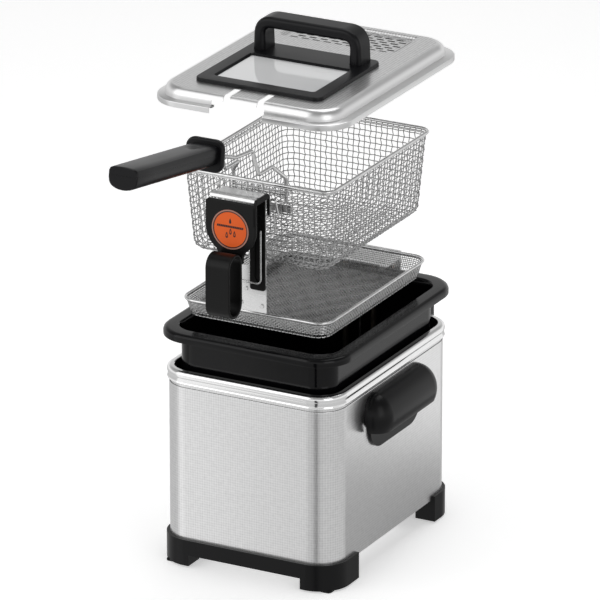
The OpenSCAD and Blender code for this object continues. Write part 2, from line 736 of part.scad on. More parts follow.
module lid_filter_frame() color("silver") lid_up() translate([0, lid_filter_y, deck_z - 12]) difference() {
    linear_extrude(10.6) round_rect(140, 56, 6);
    translate([0, 0, 1.5]) linear_extrude(12) round_rect(136, 52, 5);
    for (i = [-2 : 2]) translate([24 * i - 8, -20, -1]) cube([16, 40, 4]);
}

// Soft ring that closes the lid on the bowl's flange
module lid_seal() color("lightgray") lid_up() difference() {
    translate([0, 0, flange_top + 0.4]) linear_extrude(2.2) difference() {
        round_rect(226, 300, 33);
        round_rect(214, 288, 27);
    }
    translate([clip_x - 30, -160, 230]) cube([66, 40, 16]);
    translate([-29, 130, 230]) cube([58, 40, 20]);
}

// ---- assembly ----

housing_shell();
inner_frame();
base_frame();
foot_pads();
base_plate();
base_screws();
side_handle_right();
side_handle_left();
handle_backplates();
handle_screws();
rear_guide_rail();
guide_screws();
bowl();
control_box();
control_cover();
cover_screws();
heating_element();
element_bracket();
temperature_probe();
probe_clip();
thermostat_body();
thermal_cutout();
terminal_block();
microswitch();
cord_gland();
indicator_lenses();
thermostat_knob();
power_switch();
reset_button();
filter_tray();
filter_rim_wire();
filter_bracket();
filter_rivets();
filter_rail();
filter_strip();
filter_shield();
filter_badge();
filter_loop_grip();
basket_mesh();
basket_rim_wire();
basket_bracket();
handle_wires();
handle_guard();
grip_upper();
grip_lower();
grip_screw();
lid_pan();
lid_window();
lid_bezel();
lid_handle();
lid_screws();
lid_filter();
lid_filter_frame();
lid_seal();
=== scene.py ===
import json
import math

import bmesh
import bpy
from mathutils import Matrix, Vector


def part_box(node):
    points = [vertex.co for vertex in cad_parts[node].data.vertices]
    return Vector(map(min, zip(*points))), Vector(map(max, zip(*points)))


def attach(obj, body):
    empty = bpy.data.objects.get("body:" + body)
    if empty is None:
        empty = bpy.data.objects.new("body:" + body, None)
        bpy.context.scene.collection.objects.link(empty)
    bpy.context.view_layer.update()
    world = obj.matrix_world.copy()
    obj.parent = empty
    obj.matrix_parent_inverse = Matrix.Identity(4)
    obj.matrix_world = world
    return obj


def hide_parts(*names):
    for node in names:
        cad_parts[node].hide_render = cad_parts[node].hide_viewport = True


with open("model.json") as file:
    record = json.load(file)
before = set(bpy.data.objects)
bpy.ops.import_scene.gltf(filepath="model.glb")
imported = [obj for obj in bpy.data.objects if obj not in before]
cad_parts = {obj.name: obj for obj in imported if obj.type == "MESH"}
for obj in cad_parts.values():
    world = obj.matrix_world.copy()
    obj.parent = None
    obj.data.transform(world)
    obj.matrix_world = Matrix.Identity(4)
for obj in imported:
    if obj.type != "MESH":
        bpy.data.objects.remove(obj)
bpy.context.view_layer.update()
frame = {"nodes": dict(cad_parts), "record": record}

NODES = frame["nodes"]
MM = 0.001
TAU = 2 * math.pi
CORNER_STEPS = 16
SHARP = 38             # degrees above which an edge is shaded sharp
UV = "wrap"


# ---------------------------------------------------------------- materials

class Shader:
    """A node material with one Principled shader, and short calls for the nodes that feed it."""

    def __init__(self, name, color, metallic=0.0, roughness=0.5, **sockets):
        self.mat = bpy.data.materials.new(name)
        self.mat.use_nodes = True
        self.tree = self.mat.node_tree
        self.bsdf = self.tree.nodes["Principled BSDF"]
        self.put("Base Color", (*color, 1))
        self.put("Metallic", metallic)
        self.put("Roughness", roughness)
        for key, value in sockets.items():
            self.put(key.replace("_", " "), value)

    def put(self, socket, value):
        self.bsdf.inputs[socket].default_value = value

    def link(self, a, b):
        self.tree.links.new(a, b)

    def node(self, kind, **settings):
        made = self.tree.nodes.new(kind)
        for key, value in settings.items():
            setattr(made, key, value)
        return made

    def wrapped(self):
        return self.node("ShaderNodeUVMap", uv_map=UV).outputs["UV"]

    def noise(self, scale, detail=3, stretch=(1, 1, 1)):
        mapping = self.node("ShaderNodeMapping")
        mapping.inputs["Scale"].default_value = stretch
        self.link(self.node("ShaderNodeTexCoord").outputs["Object"], mapping.inputs["Vector"])
        made = self.node("ShaderNodeTexNoise")
        made.inputs["Scale"].default_value = scale
        made.inputs["Detail"].default_value = detail
        self.link(mapping.outputs["Vector"], made.inputs["Vector"])
        return made.outputs["Fac"]

    def math(self, operation, a, b=0.0):
        made = self.node("ShaderNodeMath", operation=operation)
        for socket, value in zip(made.inputs, (a, b)):
            if isinstance(value, (int, float)):
                socket.default_value = value
            else:
                self.link(value, socket)
        return made.outputs[0]

    def spread(self, fac, low, high):
        """fac, remapped from 0..1 to low..high."""
        return self.math("ADD", self.math("MULTIPLY", fac, high - low), low)

    def blend(self, fac, dark, light):
        """Base colour, from dark where fac is 0 to light where it is 1."""
        mix = self.node("ShaderNodeMix", data_type="RGBA")
        self.link(fac, mix.inputs["Factor"])
        mix.inputs["A"].default_value = (*dark, 1)
        mix.inputs["B"].default_value = (*light, 1)
        self.link(mix.outputs["Result"], self.bsdf.inputs["Base Color"])

    def bump(self, height, distance, strength=1.0):
        made = self.node("ShaderNodeBump")
        made.inputs["Strength"].default_value = strength
        made.inputs["Distance"].default_value = distance
        self.link(height, made.inputs["Height"])
        self.link(made.outputs["Normal"], self.bsdf.inputs["Normal"])


def linen_steel(name, cell=3.0 * MM, tone=0.80, contrast=0.2):
    """Stainless sheet rolled with a fine diamond linen."""
    s = Shader(name, (tone,) * 3, metallic=1.0, roughness=0.3)
    parts = s.node("ShaderNodeSeparateXYZ")
    s.link(s.wrapped(), parts.inputs[0])
    u, v = parts.outputs[0], parts.outputs[1]
    rate = TAU / cell / 2
    one = s.math("SINE", s.math("MULTIPLY", s.math("ADD", u, v), rate))
    two = s.math("SINE", s.math("MULTIPLY", s.math("SUBTRACT", u, v), rate))
    weave = s.math("ADD", s.math("MULTIPLY", s.math("MULTIPLY", one, two), 0.5), 0.5)
    drift, speck = s.noise(9, 2), s.noise(260, 2)
    fac = s.math("ADD", s.math("MULTIPLY", weave, 0.5), s.math("MULTIPLY", speck, 0.5))
    s.blend(fac, (tone * (1 - contrast),) * 3, (min(1, tone * (1 + contrast)),) * 3)
    s.link(s.spread(drift, 0.26, 0.34), s.bsdf.inputs["Roughness"])
    s.bump(weave, 0.03 * MM, 0.4)
    return s.mat


def bright_steel(name, tone=0.8, rough=0.16, grain=(1, 1, 60)):
    """Plain bright sheet with faint drawing lines."""
    s = Shader(name, (tone,) * 3, metallic=1.0, roughness=rough)
    lines = s.noise(90, 3, stretch=grain)
    s.link(s.spread(lines, rough * 0.7, rough * 1.5), s.bsdf.inputs["Roughness"])
    s.bump(lines, 0.01 * MM, 0.35)
    return s.mat


def satin_steel(name, tone, rough):
    """Smooth drawn edge of a pressing, with slow changes of gloss."""
    s = Shader(name, (tone,) * 3, metallic=1.0, roughness=rough)
    drift = s.noise(12, 2)
    s.blend(drift, (tone * 0.94,) * 3, (min(1, tone * 1.04),) * 3)
    s.link(s.spread(drift, rough * 0.85, rough * 1.2), s.bsdf.inputs["Roughness"])
    return s.mat


def wire_steel(name, tone, rough):
    """Drawn wire, a little darker where it was bent and washed."""
    s = Shader(name, (tone,) * 3, metallic=1.0, roughness=rough)
    stain = s.noise(160, 2)
    s.blend(stain, (tone * 0.72,) * 3, (min(1, tone * 1.18),) * 3)
    s.link(s.spread(stain, rough * 0.7, rough * 1.4), s.bsdf.inputs["Roughness"])
    return s.mat


def moulded(name, color, rough=0.38, grain=900, depth=0.03, coat=0.0, shine=0.5):
    """Moulded plastic with a fine spark texture and slightly uneven gloss."""
    s = Shader(name, color, roughness=rough, Coat_Weight=coat, Coat_Roughness=0.2, Specular_IOR_Level=shine)
    wear = s.noise(14, 4)
    s.blend(wear, tuple(c * 0.75 for c in color), tuple(min(1, c * 1.3) for c in color))
    s.link(s.spread(wear, rough * 0.85, rough * 1.2), s.bsdf.inputs["Roughness"])
    s.bump(s.noise(grain, 2), depth * MM, 0.5)
    return s.mat


def enamel():
    """Glossy black vitreous enamel with a slight orange peel."""
    s = Shader("black_enamel", (0.002, 0.002, 0.0025), roughness=0.12, Specular_IOR_Level=0.24)
    peel = s.noise(120, 2)
    s.link(s.spread(peel, 0.08, 0.2), s.bsdf.inputs["Roughness"])
    s.bump(peel, 0.03 * MM, 0.2)
    return s.mat


def window_glass():
    """Clear pane painted near white with little transmission: painted reflection of the bright studio."""
    s = Shader("pane", (0.95, 0.96, 0.97), roughness=0.06, IOR=1.5,
               Transmission_Weight=0.1, Coat_Weight=0.5, Coat_Roughness=0.03)
    reflection_drift = s.noise(7, 1)
    # Base colour from light grey to white at random: painted reflection on the clear pane
    s.blend(reflection_drift, (0.75, 0.76, 0.77), (1, 1, 1))
    s.link(s.spread(reflection_drift, 0.03, 0.12), s.bsdf.inputs["Roughness"])
    return s.mat


def foam():
    s = Shader("charcoal_foam", (0.05, 0.05, 0.05), roughness=0.95, Sheen_Weight=0.2)
    holes = s.noise(420, 4)
    s.blend(holes, (0.015,) * 3, (0.12,) * 3)
    s.bump(holes, 0.6 * MM, 0.8)
    return s.mat


def sheath():
    """Heat-tinted tube."""
    s = Shader("element_sheath", (0.2, 0.18, 0.16), metallic=1.0, roughness=0.42)
    tint = s.noise(18, 4)
    s.blend(tint, (0.10, 0.09, 0.10), (0.34, 0.28, 0.2))
    s.bump(s.noise(300, 2), 0.02 * MM, 0.4)
    return s.mat


MATERIALS = {
    "housing_steel": linen_steel("housing_linen"),
    "lid_steel": linen_steel("lid_linen", cell=3.6 * MM, tone=0.74, contrast=0.5),
    "lid_edge": satin_steel("lid_edge", 0.76, 0.29),
    "rim_steel": bright_steel("polished_rim", 0.88, 0.13),
    # Near-black steel for the housing's groove: painted shade in the groove
    "groove_shade_steel": satin_steel("seam", 0.08, 0.4),
    "black_plastic": moulded("black_plastic", (0.004, 0.004, 0.0045), 0.28, shine=0.2),
    "handle_plastic": moulded("handle_plastic", (0.004, 0.004, 0.005), 0.32, shine=0.22),
    "filter_plastic": moulded("filter_plastic", (0.005, 0.005, 0.005), 0.36, shine=0.2),
    "rubber": moulded("rubber", (0.012, 0.012, 0.012), 0.75, shine=0.2),
    "galvanised_steel": bright_steel("galvanised", 0.62, 0.34, (1, 1, 8)),
    "zinc_screws": bright_steel("zinc", 0.75, 0.22, (8, 8, 8)),
    "enamel": enamel(),
    "element_metal": sheath(),
    "copper_probe": wire_steel("copper_wire", 0.5, 0.35),
    "phenolic": moulded("phenolic", (0.55, 0.48, 0.34), 0.5),
    "lens_red": moulded("lens_red", (0.6, 0.02, 0.015), 0.15, coat=0.5),
    "knob_plastic": moulded("knob_plastic", (0.005, 0.005, 0.006), 0.34, shine=0.3),
    "switch_plastic": moulded("switch_plastic", (0.4, 0.015, 0.012), 0.2, coat=0.4),
    "filter_mesh": wire_steel("fine_wire", 0.5, 0.26),
    "bright_wire": wire_steel("bright_wire", 0.72, 0.16),
    "bright_sheet": bright_steel("bright_sheet", 0.84, 0.27, (1, 1, 20)),
    "badge": moulded("badge_orange", (0.92, 0.125, 0.018), 0.4, shine=0.25),
    "badge_print": moulded("badge_print", (0.02, 0.006, 0.004), 0.4),
    "badge_ring": moulded("badge_ring", (0.42, 0.2, 0.15), 0.4),
    "basket_wire": wire_steel("basket_wire", 0.52, 0.2),
    "window_glass": window_glass(),
    "filter_pad": foam(),
    "filter_frame_steel": bright_steel("frame_sheet", 0.62, 0.3),
    "seal_silicone": moulded("silicone", (0.35, 0.35, 0.35), 0.6),
}


# ---------------------------------------------------------------- mesh tools

def piece(name, verts, faces, body, slot, replaces=(), uvs=None, slots=None, extra=(), sharp=SHARP):
    """Makes one piece of the visual model. slots gives a material index for each face."""
    mesh = bpy.data.meshes.new(name)
    mesh.from_pydata([tuple(v) for v in verts], [], faces)
    mesh.validate()
    for key in (slot, *extra):
        mesh.materials.append(MATERIALS[key])
    if slots:
        mesh.polygons.foreach_set("material_index", slots)
    if uvs:
        layer = mesh.uv_layers.new(name=UV)
        for loop in mesh.loops:
            layer.data[loop.index].uv = uvs[loop.vertex_index]
    bm = bmesh.new()
    bm.from_mesh(mesh)
    bmesh.ops.recalc_face_normals(bm, faces=bm.faces)
    bm.to_mesh(mesh)
    bm.free()
    mesh.shade_smooth()
    mesh.set_sharp_from_angle(angle=math.radians(sharp))
    made = bpy.data.objects.new(name, mesh)
    bpy.context.scene.collection.objects.link(made)
    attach(made, body)
    if replaces:
        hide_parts(*replaces)
    return made


def weighted(obj):
    """Keeps large flat faces flat in the shading."""
    mod = obj.modifiers.new("weighted", "WEIGHTED_NORMAL")
    mod.keep_sharp = True
    return obj


def bevelled(obj, width, segments=3, angle=35):
    mod = obj.modifiers.new("bevel", "BEVEL")
    mod.width = width
    mod.segments = segments
    mod.limit_method = "ANGLE"
    mod.angle_limit = math.radians(angle)
    mod.harden_normals = False
    return weighted(obj)


def section(w, d, r, z, cx=0.0, cy=0.0, steps=CORNER_STEPS):
    """Points round a rectangle with round corners, counter-clockwise from the right rear corner."""
    points = []
    for quarter, (sx, sy) in enumerate(((1, 1), (-1, 1), (-1, -1), (1, -1))):
        for i in range(steps + 1):
            a = math.pi / 2 * (quarter + i / steps)
            points.append(Vector((cx + sx * (w / 2 - r) + r * math.cos(a),
                                  cy + sy * (d / 2 - r) + r * math.sin(a), z)))
    return points


def loft(rings, closed=False, cap_first=False, cap_last=False):
    """Vertices, faces, texture places and, for each face, the index of its first ring."""
    count = len(rings[0])
    verts = [p for ring in rings for p in ring]
    around = [0.0]
    for a, b in zip(rings[0], rings[0][1:] + rings[0][:1]):
        around.append(around[-1] + (b - a).length)
    along = [0.0]
    for a, b in zip(rings, rings[1:]):
        along.append(along[-1] + (b[0] - a[0]).length)
    uvs = [(around[i], along[j]) for j in range(len(rings)) for i in range(count)]
    faces, owner = [], []
    for j in range(len(rings) if closed else len(rings) - 1):
        k = (j + 1) % len(rings)
        for i in range(count):
            n = (i + 1) % count
            faces.append((j * count + i, j * count + n, k * count + n, k * count + i))
            owner.append(j)
    if cap_first:
        faces.append(tuple(range(count))[::-1])
        owner.append(0)
    if cap_last:
        faces.append(tuple(range((len(rings) - 1) * count, len(rings) * count)))
        owner.append(len(rings) - 2)
    return verts, faces, uvs, owner


def solid(rings):
    """Vertices and faces through the rings, closed at both ends."""
    return loft(rings, cap_first=True, cap_last=True)[:2]


def rounded(points, radius, steps=5):
    """An open path with its bends rounded to a radius."""
    points = [Vector(p) for p in points]
    path = [points[0]]
    for a, b, c in zip(points, points[1:], points[2:]):
        back, ahead = (a - b), (c - b)
        angle = back.angle(ahead)
        reach = min(radius / math.tan(angle / 2), back.length * 0.49, ahead.length * 0.49)
        p, q = b + back.normalized() * reach, b + ahead.normalized() * reach
        for k in range(steps + 1):
            t = k / steps
            path.append((1 - t) ** 2 * p + 2 * t * (1 - t) * b + t * t * q)
    return path + [points[-1]]


def tube_mesh(paths, radius, sides=8, closed=False):
    """One mesh of round wires that follow the paths."""
    verts, faces = [], []
    for path in paths:
        count, base, normal = len(path), len(verts), None
        for i, p in enumerate(path):
            before = path[i - 1] if i or closed else p
            after = path[(i + 1) % count] if i < count - 1 or closed else p
            way = (after - before).normalized()
            if normal is None:
                normal = way.orthogonal().normalized()
            normal = (normal - way * normal.dot(way)).normalized()
            side = way.cross(normal)
            for k in range(sides):
                a = TAU * k / sides
                verts.append(p + radius * (math.cos(a) * normal + math.sin(a) * side))
        for i in range(count if closed else count - 1):
            j = (i + 1) % count
            for k in range(sides):
                n = (k + 1) % sides
                faces.append((base + i * sides + k, base + i * sides + n,
                              base + j * sides + n, base + j * sides + k))
        if not closed:
            faces.append(tuple(base + k for k in range(sides))[::-1])
            faces.append(tuple(base + (count - 1) * sides + k for k in range(sides)))
    return verts, faces


def wires(name, paths, radius, body, slot, replaces=(), sides=10, closed=False):
    verts, faces = tube_mesh(paths, radius, sides, closed)
    return piece(name, verts, faces, body, slot, replaces, sharp=60)


def ring_wire(name, w, d, r, z, radius, body, replaces, cy):
    """Rim wire of a tray or basket, measured over its outside."""
    path = section(w - 2 * radius, d - 2 * radius, r - radius, z, cy=cy, steps=10)
    return wires(name, [path], radius, body, "bright_wire", replaces, 12, closed=True)


def prism(outline, depth):
    """Solid between z = 0 and depth over a 2D outline."""
    count = len(outline)
    verts = [Vector((x, y, z)) for z in (0, depth) for x, y in outline]
    faces = [tuple(range(count))[::-1], tuple(range(count, 2 * count))]
    for i in range(count):
        n = (i + 1) % count
        faces.append((i, n, count + n, count + i))
    return verts, faces


def hollow_prism(outer, inner, depth):
    """Solid ring between two outlines with the same number of points."""
    rings = [[Vector((x, y, z)) for x, y in outline]
             for outline, z in ((outer, 0), (outer, depth), (inner, depth), (inner, 0))]
    return loft(rings, closed=True)[:2]


def circle(radius, turns):
    """Points of a circle at the given angles."""
    return [(radius * math.cos(a), radius * math.sin(a)) for a in turns]


def flat(w, h, r, cx=0.0, cy=0.0, steps=8):
    return [(p.x, p.y) for p in section(w, h, r, 0, cx, cy, steps)]


def placed(verts, matrix):
    return [matrix @ v for v in verts]


SIDEWAYS = Matrix(((0, 0, 1, 0), (1, 0, 0, 0), (0, 1, 0, 0), (0, 0, 0, 1)))    # drawing (x, y) -> (Y, Z)


def facing_front(x, y, z):
    """Turns a flat drawing upright: its Y becomes height and its depth comes forward."""
    return Matrix.Translation((x, y, z)) @ Matrix.Rotation(math.radians(90), 4, "X")


def merged(shapes):
    """One mesh from several (vertices, faces) pairs."""
    verts, faces = [], []
    for points, sides in shapes:
        base = len(verts)
        verts += points
        faces += [tuple(base + i for i in f) for f in sides]
    return verts, faces


def block(low, high):
    """Box between two corners."""
    verts, faces = prism([(low[0], low[1]), (high[0], low[1]), (high[0], high[1]), (low[0], high[1])],
                         high[2] - low[2])
    return [v + Vector((0, 0, low[2])) for v in verts], faces


def cut(obj, verts, faces):
    """Takes a closed shape out of a piece."""
    mesh = bpy.data.meshes.new("cutter")
    mesh.from_pydata([tuple(v) for v in verts], [], faces)
    cutter = bpy.data.objects.new("cutter", mesh)
    bpy.context.scene.collection.objects.link(cutter)
    mod = obj.modifiers.new("cut", "BOOLEAN")
    mod.object = cutter
    mod.operation = "DIFFERENCE"
    mod.solver = "EXACT"
    bpy.context.view_layer.update()
    result = bpy.data.meshes.new_from_object(obj.evaluated_get(bpy.context.evaluated_depsgraph_get()))
    obj.modifiers.remove(mod)
    obj.data = result
    bpy.data.objects.remove(cutter)
    result.set_sharp_from_angle(angle=math.radians(SHARP))


# ---------------------------------------------------------------- housing

WALL_R = 33 * MM
RIM_OUT = 2.3 * MM
RIM_BAND = 15 * MM
MOUTH_W = 208 * MM


def housing():
    low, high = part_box("housing_shell")
    w, d = high.x - low.x - 2 * RIM_OUT, high.y - low.y - 2 * RIM_OUT
    band = high.z - RIM_BAND
    lip = (RIM_OUT - (high.x - low.x - MOUTH_W) / 2) / MM

    def at(base, out, up):
        return section(w + 2 * out * MM, d + 2 * out * MM, WALL_R + out * MM, base + up * MM)

    # Each step: how far out from the wall and how far above its level, in mm
    foot = ((-1, 0.4), (-0.6, 0), (-0.2, 0), (0, 0.4), (0, 20))
    groove_and_bead = ((0, -4.8), (-0.3, -4), (-1.4, -3.6), (-1.4, -0.3), (0.9, 0), (1.9, 0.4), (2.3, 1.2),
                       (2, 2.2), (1.5, 2.9), (1.5, 6.5), (1.9, 7.6))
    crown = ((2.3, -6), (2.3, -4.8), (2.15, -3.5), (1.7, -2.3), (1, -1.3), (0.1, -0.6), (-1, -0.15),
             (-2.2, 0), (lip + 0.6, 0), (lip, -0.6), (lip + 0.6, -1.2), (-1, -1.6))
    rings = [at(low.z, *step) for step in foot] + [at(band, *step) for step in groove_and_bead]
    rings += [at(high.z, *step) for step in crown] + [at(band, -1, 0)]
    verts, faces, uvs, owner = loft(rings, closed=True)
    # The groove's faces take the near-black steel, which paints the shade that falls in the groove
    groove, polished = range(6, 9), range(9, 27)
    slots = [2 if k in groove else 1 if k in polished else 0 for k in owner]
    shell = piece("housing_wrap", verts, faces, "housing", "housing_steel", ["housing_shell"], uvs, slots,
                  ["rim_steel", "groove_shade_steel"])
    weighted(shell)


def side_hood(name, side, node):
    """Hooded grip: a hollow half capsule, open below."""
    low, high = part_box(node)
    wall = low.x if side > 0 else high.x
    reach, rounding, skin = high.x - low.x, 23 * MM, 4 * MM
    centre = low.z + 14 * MM
    middle = (low.y + high.y) / 2
    straight = (high.y - low.y) / 2 - rounding
    rise = high.z - centre
    rows, turns = 20, 12
    columns = [(-1, -math.pi / 2 * (1 - i / turns)) for i in range(turns + 1)]
    columns += [(1, math.pi / 2 * i / turns) for i in range(turns + 1)]

    def surface(inset):
        out, along, up = reach - inset, rounding - inset, rise - inset
        lowest = -math.asin((centre - low.z) / up)
        grid = []
        for end, turn in columns:
            line = []
            for j in range(rows + 1):
                a = math.pi / 2 + (lowest - math.pi / 2) * j / rows
                line.append(Vector((wall + side * out * math.cos(a) * math.cos(turn),
                                    middle + end * straight + along * math.cos(a) * math.sin(turn),
                                    centre + up * math.sin(a))))
            grid.append(line)
        return grid

    outer, inner = surface(0), surface(skin)
    across, last = rows + 1, len(columns) - 1
    verts = [p for grid in (outer, inner) for line in grid for p in line]
    shift = len(columns) * across
    faces = []
    for i in range(last):
        for j in range(rows):
            a, b = i * across + j, (i + 1) * across + j
            faces.append((a, b, b + 1, a + 1))
            faces.append((shift + a, shift + a + 1, shift + b + 1, shift + b))
        for j in (0, rows):
            a, b = i * across + j, (i + 1) * across + j
            faces.append((a, b, shift + b, shift + a))
    for i in (0, last):
        for j in range(rows):
            a = i * across + j
            faces.append((a, a + 1, shift + a + 1, shift + a))
    piece(name, verts, faces, "housing", "black_plastic", [node], sharp=50)


# ---------------------------------------------------------------- bowl

def bowl():
    low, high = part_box("bowl")
    w, d = high.x - low.x, high.y - low.y
    top, bottom = high.z, low.z
    opening_w, opening_d = w - 35 * MM, d - 37 * MM
    lip = top - 9.7 * MM

    def well(out, r, level, up):
        return section(opening_w + out * MM, opening_d + out * MM, r * MM, level + up * MM)

    def flange(inset, r, level, up):
        return section(w - inset * MM, d - inset * MM, r * MM, level + up * MM)

    rings = [well(-17, 22, bottom, 1.4), well(-8, 24, bottom, 3), well(-5.5, 24, bottom, 8),
             well(-4, 24, top, -10), well(-0.8, 25, top, -4), well(0.4, 25.5, top, -1.2), well(3, 27, top, 0),
             flange(10, 37, top, 0), flange(5, 38.5, top, -0.5), flange(1.6, 39.5, top, -2),
             flange(0, 40, top, -4.5), flange(0, 40, lip, 0.6), flange(0.8, 39.6, lip, 0),
             flange(2.6, 39, lip, 0.4), flange(4, 38, lip, 6),
             well(8, 28, lip, 6), well(-1.2, 26, lip, 3), well(-1.8, 26, lip, -4),
             well(-3.4, 25, bottom, 8), well(-6, 25, bottom, 2), well(-14, 24, bottom, 0)]
    verts, faces = solid(rings)
    weighted(piece("bowl_body", verts, faces, "bowl", "enamel", ["bowl"]))


# ---------------------------------------------------------------- woven wire

def woven(name, shape, spots, ring_rows, radius, lift, zigzag, body, slot, node, sides, cy):
    """A woven tray: shape(t) gives (w, d, r, z) from the rim (t = 0) to the floor's edge (t = 1).
    spots = wires along the front, along a side, and round one corner."""
    front, side, corner = spots

    def ring(t):
        w, d, r, z = shape(t)
        x, y = w / 2 - r, d / 2 - r
        points, outward = [], []
        for quarter, (sx, sy) in enumerate(((1, 1), (-1, 1), (-1, -1), (1, -1))):
            for i in range(corner):
                a = math.pi / 2 * (quarter + (i + 0.5) / corner)
                n = Vector((math.cos(a), math.sin(a), 0))
                points.append(Vector((sx * x, sy * y + cy, z)) + n * r)
                outward.append(n)
            many = front if quarter % 2 == 0 else side
            end = ((-x, y), (-x, -y), (x, -y), (x, y))[quarter]
            n = Vector(((0, 1), (-1, 0), (0, -1), (1, 0))[quarter] + (0,))
            for i in range(many):
                f = (i + 0.5) / many
                p = Vector((sx * x + (end[0] - sx * x) * f, sy * y + (end[1] - sy * y) * f + cy, z))
                points.append(p + n * r)
                outward.append(n)
        return points, outward

    rows = [ring(k / ring_rows) for k in range(ring_rows + 1)]
    count = len(rows[0][0])
    uprights = []
    for i in range(count):
        line = []
        for k, (points, outward) in enumerate(rows):
            turn = 1 if (i + k) % 2 else -1
            along = Vector((-outward[i].y, outward[i].x, 0))
            line.append(points[i] + outward[i] * lift * turn + along * zigzag * (1 if k % 2 else -1))
        uprights.append(line)
    hoops = [[p + n * lift * (-1 if (i + k) % 2 else 1) for i, (p, n) in enumerate(zip(*row))]
             for k, row in enumerate(rows[1:], 1)]
    floor, starts, index = [], [], 0
    for quarter in range(4):
        starts.append(index + corner)
        index = starts[-1] + (front if quarter % 2 == 0 else side)
    last = rows[-1][0]
    for (rear, fore), many, across in ((starts[::2], front, side), (starts[1::2], side, front)):
        for i in range(many):
            a, b = last[rear + i], last[fore + many - 1 - i]
            line = []
            for k in range(across + 2):
                turn = 1 if (i + k + (many == side)) % 2 else -1
                sideways = (b - a).cross(Vector((0, 0, 1))).normalized() * zigzag * (1 if k % 2 else -1)
                line.append(a.lerp(b, k / (across + 1)) + Vector((0, 0, lift * turn)) + sideways)
            floor.append(line)
    verts, faces = merged([tube_mesh(uprights + floor, radius, sides),
                           tube_mesh(hoops, radius, sides, closed=True)])
    piece(name, verts, faces, body, slot, [node], sharp=80)


def tray_shape(w, d, r, top, height, taper, edge):
    """Profile of a tray: a slightly tapered wall, then a round edge down to the floor."""
    def at(t):
        if t < 0.8:
            inset, drop = taper * t / 0.8, (height - edge) * t / 0.8
        else:
            a = (t - 0.8) / 0.2 * math.pi / 2
            inset, drop = taper + edge * (1 - math.cos(a)), height - edge + edge * math.sin(a)
        return w - 2 * inset, d - 2 * inset, max(r - inset * 0.4, 4 * MM), top - drop
    return at


def rim_measures(node):
    """Width, depth, middle Y, radius and height of a rim wire."""
    low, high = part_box(node)
    wire = (high.z - low.z) / 2
    return high.x - low.x, high.y - low.y, (low.y + high.y) / 2, wire, low.z + wire


def basket():
    low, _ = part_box("basket_mesh")
    w, d, cy, wire, middle = rim_measures("basket_rim_wire")
    shape = tray_shape(w - 6 * MM, d - 6 * MM, 15 * MM, middle, middle - low.z - 1.6 * MM, 7 * MM, 11 * MM)
    woven("basket_weave", shape, (22, 30, 3), 16, 0.6 * MM, 0.6 * MM, 0.5 * MM, "basket", "basket_wire",
          "basket_mesh", 6, cy)
    ring_wire("basket_rim", w, d, 16 * MM, middle, wire, "basket", ["basket_rim_wire"], cy)
    ring_wire("basket_rim_under", w - 5.6 * MM, d - 5.6 * MM, 13.4 * MM, middle - 3.4 * MM, 1.2 * MM,
              "basket", [], cy)


def filter_tray():
    low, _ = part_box("filter_tray")
    w, d, cy, wire, middle = rim_measures("filter_rim_wire")
    shape = tray_shape(w - 4 * MM, d - 4 * MM, 18 * MM, middle, middle - low.z - 0.8 * MM, 4 * MM, 6 * MM)
    woven("tray_weave", shape, (62, 86, 8), 9, 0.48 * MM, 0.35 * MM, 0.0, "oil_filter", "filter_mesh",
          "filter_tray", 4, cy)
    ring_wire("tray_rim", w, d, 19 * MM, middle, wire, "oil_filter", ["filter_rim_wire"], cy)


# ---------------------------------------------------------------- oil filter handle

def strip():
    """Bright strip rolled over the flange of the bowl."""
    low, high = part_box("filter_strip")
    thick, roll = 1.4 * MM, high.z - low.z
    centre = low.y + roll + 0.8 * MM
    top = []
    for i in range(15):              # round the roll, from its tip to the flat
        a = math.pi * (1.02 - 0.80 * i / 14)
        top.append((centre + roll * 1.05 * math.cos(a), low.z + roll * math.sin(max(a, 0))))
    top += [(centre + 12 * MM, low.z + thick * 1.5), (high.y, low.z + thick * 1.5)]
    under = [(y + 0.2 * MM, max(z - thick, low.z)) for y, z in top]
    verts, faces = prism(top + under[::-1], high.x - low.x)
    verts = placed(verts, Matrix.Translation((low.x, 0, 0)) @ SIDEWAYS)
    piece("rolled_strip", verts, faces, "oil_filter", "bright_sheet", ["filter_strip"], sharp=30)


def shield():
    """Black shield with a round lower part, a neck, and a cheek over the flange."""
    low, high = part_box("filter_shield")
    strip_low, strip_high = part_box("filter_strip")
    x = (strip_low.x + strip_high.x) / 2
    half = x - low.x               # also the radius of the round part
    thick = 4.6 * MM
    round_z = low.z + 40 * MM
    top = strip_low.z - 0.2 * MM
    neck = 15 * MM
    outline = [(half, 0), (half, top - round_z - 3 * MM), (half - 3 * MM, top - round_z),
               (3 * MM - half, top - round_z), (-half, top - round_z - 3 * MM), (-half, 0)]
    reach = math.asin(neck / half) + 0.12
    sweep = math.pi / 2 - reach
    outline += circle(half, [math.pi + sweep * i / 12 for i in range(1, 13)])
    outline += [(-neck, -half - MM), (-neck, -40 * MM), (neck, -40 * MM), (neck, -half - MM)]
    outline += circle(half, [1.5 * math.pi + reach + sweep * i / 12 for i in range(12)])
    verts, faces = prism(outline, thick)
    verts = placed(verts, facing_front(x, low.y + thick, round_z))
    bevelled(piece("shield_plate", verts, faces, "oil_filter", "filter_plastic", ["filter_shield"]), 1.3 * MM)

    # Side view in mm: front leg, bar over the flange, rear leg inside the bowl
    cheek = ((0, 0), (0, -26), (3, -26), (3, -1.2), (30.9, -1.2), (30.9, -20), (32.5, -22), (32.5, 2),
             (29, 5), (3, 5))
    cheek_thick = 3.4 * MM
    verts, faces = prism([(y * MM, z * MM) for y, z in cheek], cheek_thick)
    place = Matrix.Translation((high.x - cheek_thick, low.y, strip_low.z + 0.2 * MM))
    verts = placed(verts, place @ SIDEWAYS)
    bevelled(piece("shield_cheek", verts, faces, "oil_filter", "filter_plastic"), 0.6 * MM)


